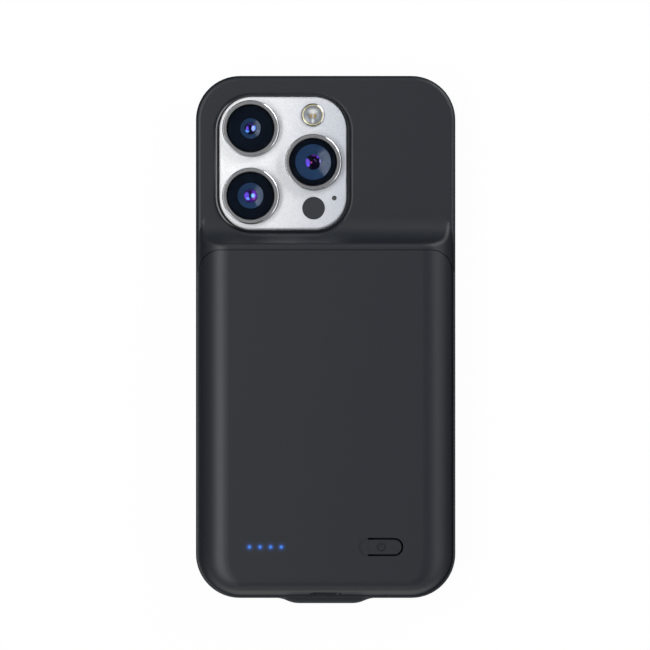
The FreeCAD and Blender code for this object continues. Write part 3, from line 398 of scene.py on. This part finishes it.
# Crystal with an antireflection coat, which leaves a faint blue mirror. The coat is drawn as a low refraction
# and a dark blue tint. Light passes through it to what lies below.
cover_glass, tree, shader, place = surface(
    "coated_crystal",
    "#f2f6ff",
    "#ffffff",
    3.0,
    (0.0, 0.01),
    IOR=1.2,
    Transmission_Weight=1.0,
    Specular_Tint=linear("#3c4a70"),
)
path = add(tree, "ShaderNodeLightPath").outputs
through = add(tree, "ShaderNodeBsdfTransparent", {"Color": WHITE})
mixed = add(
    tree, "ShaderNodeMixShader", {0: path["Is Shadow Ray"], 1: shader.outputs[0], 2: through.outputs[0]}
)
tree.links.new(mixed.outputs[0], tree.nodes["Material Output"].inputs["Surface"])

# Ink printed on the underside of the crystal: blue-black and dead matte, because nothing lies between the two.
lens_ink = surface(
    "printed_lens_ink", "#04080f", "#060b13", 0.8, (0.55, 0.65), IOR=1.5, Specular_IOR_Level=0.02
)[0]
# A black band round the edge of the ink: painted shade under the ring's edge.
edge_shade_ink = surface(
    "lens_ink_painted_shade", "#020203", "#040406", 0.8, (0.55, 0.65), IOR=1.5, Specular_IOR_Level=0.02
)[0]
# Machined aluminium dyed deep blue: matte in shade, with a crisp pale fan where a lamp is mirrored.
funnel_blue = surface(
    "dyed_aluminium_funnel", "#17273d", "#1a2b42", 0.5, (0.07, 0.1), IOR=1.5, Specular_IOR_Level=0.17
)[0]

# Multilayer coats on the front lenses: black from above, with painted reflections in the base colour: violet
# and blue images of the lamps, with dark gaps between them. Each painted reflection is a soft oval: offset,
# half sizes, colour, softness.
PAINTED_LENS_REFLECTIONS = (
    (
        (0.0, 1.2, 1.3, 0.5, "#2b1a5e", 0.9),
        (1.35, 0.2, 0.42, 1.0, "#2f66cc", 0.9),
        (-0.95, -0.75, 0.8, 0.7, "#4c8cf0", 0.8),
        (-0.72, -0.15, 0.72, 0.85, "#170d3a", 0.7),
        (-0.9, 0.05, 0.46, 0.82, "#432db0", 0.4),
        (-1.15, 0.05, 0.25, 0.6, "#6a2f9a", 0.8),
        (0.82, 0.0, 0.62, 0.95, "#8f9af0", 0.35),
        (1.1, -0.05, 0.34, 0.7, "#6f9cf0", 0.8),
        (-0.14, 0.1, 0.3, 1.25, "#05050f", 0.6),
    ),
    (
        (0.0, 0.0, 2.1, 2.1, "#35135f", 0.25),
        (-0.2, 1.15, 1.3, 0.6, "#150b2a", 0.7),
        (1.0, 1.05, 0.9, 0.85, "#51208e", 0.8),
        (1.4, 0.0, 0.65, 1.3, "#5c32a8", 0.8),
        (-1.15, 0.05, 0.88, 1.2, "#4a2ea8", 0.4),
        (-0.75, -0.85, 0.85, 0.6, "#5c8cf0", 0.8),
        (-1.3, -1.2, 0.6, 0.5, "#4a1d7c", 0.8),
        (0.95, -0.85, 0.75, 0.62, "#853a88", 0.9),
        (0.78, 0.05, 0.6, 0.75, "#86a6ff", 0.5),
        (0.36, 0.0, 0.25, 0.7, "#2aa6b8", 0.7),
        (-0.17, 0.1, 0.36, 1.4, "#03101a", 0.5),
    ),
    (
        (0.3, 2.0, 1.2, 0.4, "#461a72", 0.8),
        (1.45, 1.55, 0.6, 0.5, "#6d35e6", 0.7),
        (2.1, 0.5, 0.32, 1.1, "#a493e6", 0.7),
        (2.15, -0.9, 0.3, 0.6, "#56708a", 0.8),
        (-2.6, -0.25, 1.8, 1.6, "#4a2aac", 0.12),
        (-1.5, -0.8, 0.7, 0.8, "#4a3cc4", 0.9),
        (-0.52, -0.12, 0.34, 0.34, "#a03c90", 0.8),
        (0.45, 0.75, 0.34, 0.12, "#6a4a80", 0.8),
        (0.7, 0.4, 0.3, 0.12, "#75548c", 0.8),
        (0.95, 0.15, 0.3, 0.12, "#5a3f70", 0.8),
    ),
)
eyes_with_painted_reflections = []
for n, lamp_reflections in enumerate(PAINTED_LENS_REFLECTIONS):
    material, tree, shader, place = surface(
        "coated_front_lens_%d" % (n + 1),
        "#06050f",
        "#090714",
        0.5,
        (0.12, 0.16),
        IOR=1.5,
        Specular_IOR_Level=0.08,
    )
    painted_eye_colour = shader.inputs["Base Color"].links[0].from_socket
    for dx, dy, half_x, half_y, code, soft in lamp_reflections:
        reflection_spot = (LENS_SPOTS[n][0] + dx, LENS_SPOTS[n][1] + dy)
        # Each oval laid here is a painted reflection of a lamp, or a dark gap between the reflections.
        painted_eye_colour = blot(tree, painted_eye_colour, place, reflection_spot, (half_x, half_y), code, soft)
    tree.links.new(painted_eye_colour, shader.inputs["Base Color"])
    eyes_with_painted_reflections.append(material)

# Smoked polycarbonate window: a flat dark grey with almost no shine.
window_grey = surface(
    "smoked_polycarbonate", "#2d3035", "#32353a", 0.5, (0.45, 0.55), 0.002, IOR=1.5, Specular_IOR_Level=0.3
)[0]
# Fine steel mesh painted black: a small dark dot with paler specks.
mesh_black = surface("painted_fine_mesh", "#1c1d1f", "#5a5c60", 0.25, (0.5, 0.7), 0.02, IOR=1.5)[0]
# Ribbed polycarbonate lens over a metallised dish: soft grey, with painted highlights in its colour: a pale arc
# above, a pale wedge below and pale spots in the middle. Each painted highlight is a soft oval: offset, half
# sizes, colour, softness.
PAINTED_FLASH_HIGHLIGHTS = (
    (1.15, 1.9, 1.15, "#dcdee0", 0.8),
    (-1.7, 0.6, 1.1, "#d6d8da", 0.8),
    (0.0, 1.15, 1.15, "#c4c5c4", 0.35),
    (0.75, 0.4, 0.35, "#f2f2ee", 0.8),
    (-0.2, 0.3, 0.6, "#dedcd0", 0.8),
)
dish_grey, tree, shader, place = surface("ribbed_flash_lens", "#767b82", "#858a91", 0.6, (0.3, 0.4), IOR=1.58)
painted_highlight_colour = shader.inputs["Base Color"].links[0].from_socket
for dy, half_x, half_y, code, soft in PAINTED_FLASH_HIGHLIGHTS:
    highlight_spot = (FLASH_SPOT[0], FLASH_SPOT[1] + dy)
    # Each oval laid here is a painted highlight.
    painted_highlight_colour = blot(tree, painted_highlight_colour, place, highlight_spot, (half_x, half_y), code, soft)
tree.links.new(painted_highlight_colour, shader.inputs["Base Color"])
# Pale gold plating on the edge of the dish: a thin warm line.
gold_edge = surface("pale_gold_plating", "#cdc38a", "#ded6a6", 0.5, (0.3, 0.4), Metallic=0.5)[0]
# Turned aluminium rim: pale grey with a crisp bright edge.
rim_grey = surface("turned_aluminium", "#a9acb0", "#b9bcc0", 0.3, (0.15, 0.22), Metallic=1.0)[0]
# Phosphor cast over the two flash dies: matte amber.
phosphor = surface("cast_phosphor", "#8f7a4c", "#a8925f", 0.2, (0.5, 0.6), 0.004, IOR=1.5)[0]

# Clear polycarbonate light pipe, lit from below by blue light chips: a blue dot that is palest in the middle.
light_blue, tree, shader, place = surface("lit_light_pipe", "#16243f", "#1c2d4d", 0.4, (0.25, 0.35), IOR=1.58)
light_glow(tree, shader, place)

# Aluminium laminate of a pouch cell: dull silver with soft creases.
cell_foil = surface("pouch_laminate", "#8f9296", "#a7aaae", 2.5, (0.32, 0.45), 0.05, Metallic=0.9)[0]
# Double-sided acrylic tape: milky and matte.
foam_tape = surface("acrylic_foam_tape", "#d8d4c6", "#e6e3d8", 0.6, (0.7, 0.85), 0.02)[0]
# Rolled nickel strip: bright, with lines along the roll.
nickel = surface("rolled_nickel", "#b4b0a6", "#c8c4ba", 0.5, (0.2, 0.32), 0.002, (1, 0.08, 1), Metallic=1.0)[0]
# Black solder mask over glass fibre: the weave just visible below the gloss.
board_black = surface(
    "solder_mask_board", "#0a0b0b", "#121413", 0.7, (0.3, 0.4), 0.003, (1, 0.3, 1), IOR=1.55
)[0]
# Epoxy moulding compound on chips: charcoal and slightly grainy.
chip_black = surface("moulded_epoxy", "#141516", "#1f2022", 0.25, (0.55, 0.65), 0.004, IOR=1.55)[0]
# Pressed ferrite: dark grey, chalky.
ferrite = surface("pressed_ferrite", "#3b3c3e", "#4d4e50", 0.3, (0.65, 0.8), 0.01)[0]
# Ceramic and clear resin of a light chip: off-white with a soft shine.
chip_white = surface("light_chip_ceramic", "#dcdcd6", "#efefe9", 0.3, (0.3, 0.45), IOR=1.5)[0]
# Deep-drawn stainless steel with black nickel plate: dark, with fine lines along the draw.
port_steel = surface(
    "drawn_black_nickel", "#232427", "#303235", 0.5, (0.35, 0.48), 0.002, (1, 0.15, 1), Metallic=1.0
)[0]
# Glass-filled liquid crystal polymer: black and dry.
contact_black = surface("glass_filled_polymer", "#0d0d0e", "#17181a", 0.3, (0.5, 0.65), 0.005, IOR=1.5)[0]
# Polyimide film with copper below: amber brown.
flex_film = surface("polyimide_film", "#7a4a17", "#94601f", 0.8, (0.25, 0.38), 0.002, IOR=1.7)[0]
# Vapour-coated stainless steel band, polished: bright, with faint lines from a light brushing along its length.
band_steel = surface(
    "coated_steel_band", "#b6b7ba", "#cfd0d3", 0.5, (0.14, 0.22), 0.001, (0.05, 0.05, 1), Metallic=1.0
)[0]
# Toughened screen glass over a dark display: black with a faint smear of polish.
screen_glass = surface("toughened_screen_glass", "#040405", "#07080a", 6.0, (0.03, 0.07), IOR=1.52)[0]


def wear(material, *nodes):
    """Gives CAD nodes a material."""
    for node in nodes:
        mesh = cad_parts[node].data
        mesh.materials.clear()
        mesh.materials.append(material)


wear(sleeve_plastic, "case_frame")
wear(lid_plastic, "back_cover")
wear(button_plastic, "power_button")
wear(light_blue, "light_guide")
wear(cell_foil, "battery_cell")
wear(foam_tape, "cell_tape")
wear(nickel, "cell_tab_positive", "cell_tab_negative")
wear(board_black, "main_board", "plug_board")
wear(chip_white, "charge_light_1", "charge_light_2", "charge_light_3", "charge_light_4")
wear(chip_black, "charge_chip", "tact_switch", "switch_stem")
wear(ferrite, "boost_coil")
wear(port_steel, "charge_port_shell", "phone_plug_shell")
wear(contact_black, "charge_port_tongue", "phone_plug_core", "phone_plug_base")
wear(flex_film, "plug_flex")
wear(band_steel, "phone_body", "ring_switch", "volume_up_key", "volume_down_key", "side_key")
wear(screen_glass, "phone_screen")
wear(etched_glass, "phone_back_glass")
wear(window_grey, "depth_window")
wear(mesh_black, "rear_microphone")

# ---------------------------------------------------------------- camera units

# A lip with an outward bevel stands in the corner between the window's wall and the ledge round the plate.
lip = lathe("window_lip", soften(LIP_PROFILE, LIP_CORNERS), WINDOW_SPOT, [lip_plastic], core=WINDOW_CORE)
seat(lip, "shell_plastic")

for n, spot in enumerate(LENS_SPOTS):
    # A ring with an oxide-black inner slope, a blasted flat and a polished outer bevel down to the plate.
    ring = lathe(
        "lens_trim_%d" % (n + 1),
        soften(RING_PROFILE, RING_CORNERS),
        spot,
        [blasted_steel, oxide_black, polished_steel],
        lambda r, h: np.where(r < OXIDE_R, 1, np.where(r > POLISH_R, 2, 0)),
    )
    seat(ring, "lens_steel", "lens_ring_%d" % (n + 1))
    # A thin rubber seal between the ring and the plate, set off-centre so that it shows only to the lower
    # right: a dark crescent put there as painted shade of the ring.
    shade_seal_spot = (spot[0] + SEAL_SHADE_SHIFT[0], spot[1] + SEAL_SHADE_SHIFT[1])
    shade_seal = lathe("lens_shade_seal_%d" % (n + 1), soften(SEAL_PROFILE, SEAL_CORNERS), shade_seal_spot, [seal_rubber])
    seat(shade_seal, "lens_black")
    # A flat crystal with a broken edge.
    cover = lathe("lens_glass_%d" % (n + 1), soften(GLASS_PROFILE, GLASS_CORNERS), spot, [cover_glass])
    seat(cover, "lens_cover", "lens_cover_%d" % (n + 1))
    # The inked collar, the funnel below it and the domed front lens at the bottom of the funnel.
    mouth, iris = FUNNEL_R[n], IRIS_R[n]
    throat_z = FUNNEL_Z - (mouth - iris) * math.tan(FUNNEL_SLOPE)
    # The collar's outer band takes the black edge band, a painted shade.
    collar = lathe(
        "lens_ink_%d" % (n + 1),
        [(LENS_R, SEAT_Z), (LENS_R, INK_Z), (INK_EDGE_R, INK_Z), (mouth, INK_Z), (mouth, INK_Z - INK_DOWN)],
        spot,
        [lens_ink, edge_shade_ink],
        lambda r, h: np.where(r > INK_EDGE_R, 1, 0),
    )
    seat(collar, "lens_black", "lens_barrel_%d" % (n + 1))
    funnel = lathe(
        "lens_funnel_%d" % (n + 1),
        [(mouth, FUNNEL_Z), (iris, throat_z), (iris, throat_z - IRIS_DOWN), (0, throat_z - IRIS_DOWN)],
        spot,
        [funnel_blue],
    )
    seat(funnel, "lens_black")
    reach = np.linspace(1, 0, EYE_STEPS)
    dome = np.stack([iris * reach, throat_z - EYE_DOWN + EYE_RISE * (1 - reach**2)], axis=1)
    eye = lathe("lens_eye_%d" % (n + 1), dome, spot, [eyes_with_painted_reflections[n]])
    seat(eye, "lens_coated", "lens_element_%d" % (n + 1))

# The flash: a rim that stands proud of the plate, a gold edge, a metallised dish and two dies side by side.
rim = lathe(
    "flash_rim",
    soften(RIM_PROFILE, RIM_CORNERS),
    FLASH_SPOT,
    [rim_grey, gold_edge],
    lambda r, h: np.where((r < GOLD_R) & (h > GOLD_Z), 1, 0),
)
seat(rim, "flash_white", "flash_bezel")
reach = np.linspace(1, 0, DISH_STEPS)
bowl = np.stack([DISH_R * reach, DISH_Z + DISH_RISE * reach**DISH_POWER], axis=1)
seat(lathe("flash_dish", bowl, FLASH_SPOT, [dish_grey]), "flash_white", "flash_lens")
for n, side in enumerate((-1, 1)):
    die = lathe(
        "flash_die_%d" % (n + 1),
        soften(DIE_PROFILE, DIE_CORNERS),
        (FLASH_SPOT[0] + side * DIE_OUT, FLASH_SPOT[1] - DIE_DOWN),
        [phosphor],
        turns=DIE_TURNS,
        square=DIE_SQUARE,
        stretch=DIE_STRETCH,
    )
    seat(die, "flash_yellow")
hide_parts("flash_emitter")

# ---------------------------------------------------------------- stage, light and camera

# Matte white paper. It shows as white and keeps a trace of the object's shadow. In reflections it is painted
# darker close to the object's sides, as painted shade where the object would shade it, but not before its foot.
# The fade is in units of an oval of 62.5 by 100 mm, and the foot's two places are in metres.
OVAL = (1 / 0.0625, 1 / 0.1, 0.0)
PAINTED_SHADE_FADE = (3.0, 8.0)
FOOT_Y, FOOT_WHITE = (-0.078, -0.084), 0.7
PAPER_SHARE = 0.97
PAPER_HALF = 6000.0
floor_paper, tree, shader, place = surface("matte_white_paper", "#f4f4f4", "#fafafa", 2.0, (0.85, 0.95))
path = add(tree, "ShaderNodeLightPath").outputs
far = add(tree, "ShaderNodeVectorMath", {0: place, 1: OVAL}, operation="MULTIPLY")
far = add(tree, "ShaderNodeVectorMath", {0: far.outputs[0]}, operation="LENGTH")
far = add(
    tree,
    "ShaderNodeMapRange",
    {"Value": far.outputs["Value"], "From Min": PAINTED_SHADE_FADE[0], "From Max": PAINTED_SHADE_FADE[1]},
)
ahead = add(tree, "ShaderNodeSeparateXYZ", {0: place})
ahead = add(
    tree,
    "ShaderNodeMapRange",
    {"Value": ahead.outputs[1], "From Min": FOOT_Y[0], "From Max": FOOT_Y[1], "To Max": FOOT_WHITE},
)
# Painted shade in reflections: the paper's brightness there falls close to the object.
clear = add(tree, "ShaderNodeMath", {0: ahead.outputs[0], 1: far.outputs[0]}, operation="MAXIMUM")
clear = add(tree, "ShaderNodeMath", {0: path["Is Camera Ray"], 1: clear.outputs[0]}, operation="MAXIMUM")
seen = add(tree, "ShaderNodeMath", {0: path["Is Camera Ray"], 1: path["Is Glossy Ray"]}, operation="MAXIMUM")
seen = add(tree, "ShaderNodeMath", {0: seen.outputs[0], 1: path["Is Transmission Ray"]}, operation="MAXIMUM")
share = add(tree, "ShaderNodeMath", {0: seen.outputs[0], 1: PAPER_SHARE}, operation="MULTIPLY")
glow = add(tree, "ShaderNodeEmission", {"Color": WHITE, "Strength": clear.outputs[0]})
mixed = add(tree, "ShaderNodeMixShader", {0: share.outputs[0], 1: shader.outputs[0], 2: glow.outputs[0]})
tree.links.new(mixed.outputs[0], tree.nodes["Material Output"].inputs["Surface"])
sheet = np.array([(-1, -1, 0), (1, -1, 0), (1, 1, 0), (-1, 1, 0)]) * PAPER_HALF
mesh_object("paper_floor", sheet, [(0, 1, 2, 3)], [floor_paper])

# The room is white to the camera, and a thin white strip on the horizon in reflections. The lamps do the
# lighting.
STRIP_TOP = 0.02
room = bpy.data.worlds.new("studio")
room.use_nodes = True
tree = room.node_tree
tree.nodes.clear()
up = add(tree, "ShaderNodeSeparateXYZ", {0: add(tree, "ShaderNodeTexCoord").outputs["Generated"]})
strip = add(
    tree,
    "ShaderNodeMapRange",
    {"Value": up.outputs[2], "From Min": 0.0, "From Max": STRIP_TOP, "To Min": 1.0, "To Max": 0.0},
)
path = add(tree, "ShaderNodeLightPath").outputs
mirrored = add(
    tree, "ShaderNodeMath", {0: path["Is Glossy Ray"], 1: path["Is Transmission Ray"]}, operation="MAXIMUM"
)
mirrored = add(tree, "ShaderNodeMath", {0: mirrored.outputs[0], 1: strip.outputs[0]}, operation="MULTIPLY")
level = add(tree, "ShaderNodeMath", {0: mirrored.outputs[0], 1: path["Is Camera Ray"]}, operation="MAXIMUM")
sky = add(tree, "ShaderNodeBackground", {"Color": WHITE, "Strength": level.outputs[0]})
add(tree, "ShaderNodeOutputWorld", {"Surface": sky.outputs[0]})
bpy.context.scene.world = room

# Softboxes a metre from the object. Each leans from upright by some degrees towards a compass turn, 0 being +X
# and 90 +Y, and faces the object. Its size is in metres, and its last value is its brightness, with 1 as white.
LAMP_FAR = 1.0
LONG, TALL, WIDE, SHORT = (0.2, 1.17), (0.23, 1.17), (0.27, 0.83), (0.27, 0.58)
LAMPS = (
    ("left_top", 20, 180, LONG, 0.75),
    ("left_high", 30, 180, LONG, 5.8),
    ("left_middle", 40, 180, LONG, 4.4),
    ("left_low", 50, 180, LONG, 0.95),
    ("right_middle", 54, 0, TALL, 2.5),
    ("right_low", 68, 0, TALL, 0.75),
    ("right_edge", 80, 0, TALL, 0.75),
    ("top_middle", 48, 90, WIDE, 1.4),
    ("foot_low", 70, 270, WIDE, 2.1),
    ("corner_middle", 60, 45, SHORT, 6.9),
    ("corner_low", 75, 45, SHORT, 3.6),
    ("foot_right", 65, 315, SHORT, 0.95),
    ("foot_left", 65, 225, SHORT, 1.25),
)
for name, lean, turn, size, bright in LAMPS:
    lamp = bpy.data.lights.new(name, "AREA")
    lamp.shape = "RECTANGLE"
    lamp.size, lamp.size_y = size
    lamp.energy = bright * math.pi * size[0] * size[1]
    softbox = bpy.data.objects.new(name, lamp)
    a, b = math.radians(lean), math.radians(turn)
    aside = LAMP_FAR * math.sin(a)
    softbox.location = (aside * math.cos(b), aside * math.sin(b), LAMP_FAR * math.cos(a))
    softbox.rotation_euler = (0, a, b)
    softbox.visible_camera = False
    bpy.context.scene.collection.objects.link(softbox)

# A long lens straight above the object. One pixel is PIXEL millimetres wide at the level FOCUS_Z.
PIXEL, PICTURE, SENSOR = 0.2943, 650, 36
CAMERA_FAR, FOCUS_Z = 4000, 7.3
CAMERA_SPOT = (-0.185, 4.281)
lens = bpy.data.cameras.new("photo_camera")
lens.sensor_width = SENSOR
lens.lens = SENSOR * CAMERA_FAR / (PICTURE * PIXEL)
camera = bpy.data.objects.new("photo_camera", lens)
camera.location = (CAMERA_SPOT[0] * MM, CAMERA_SPOT[1] * MM, (FOCUS_Z + CAMERA_FAR) * MM)
bpy.context.scene.collection.objects.link(camera)
bpy.context.scene.camera = camera
bpy.context.scene.view_settings.view_transform = "Standard"
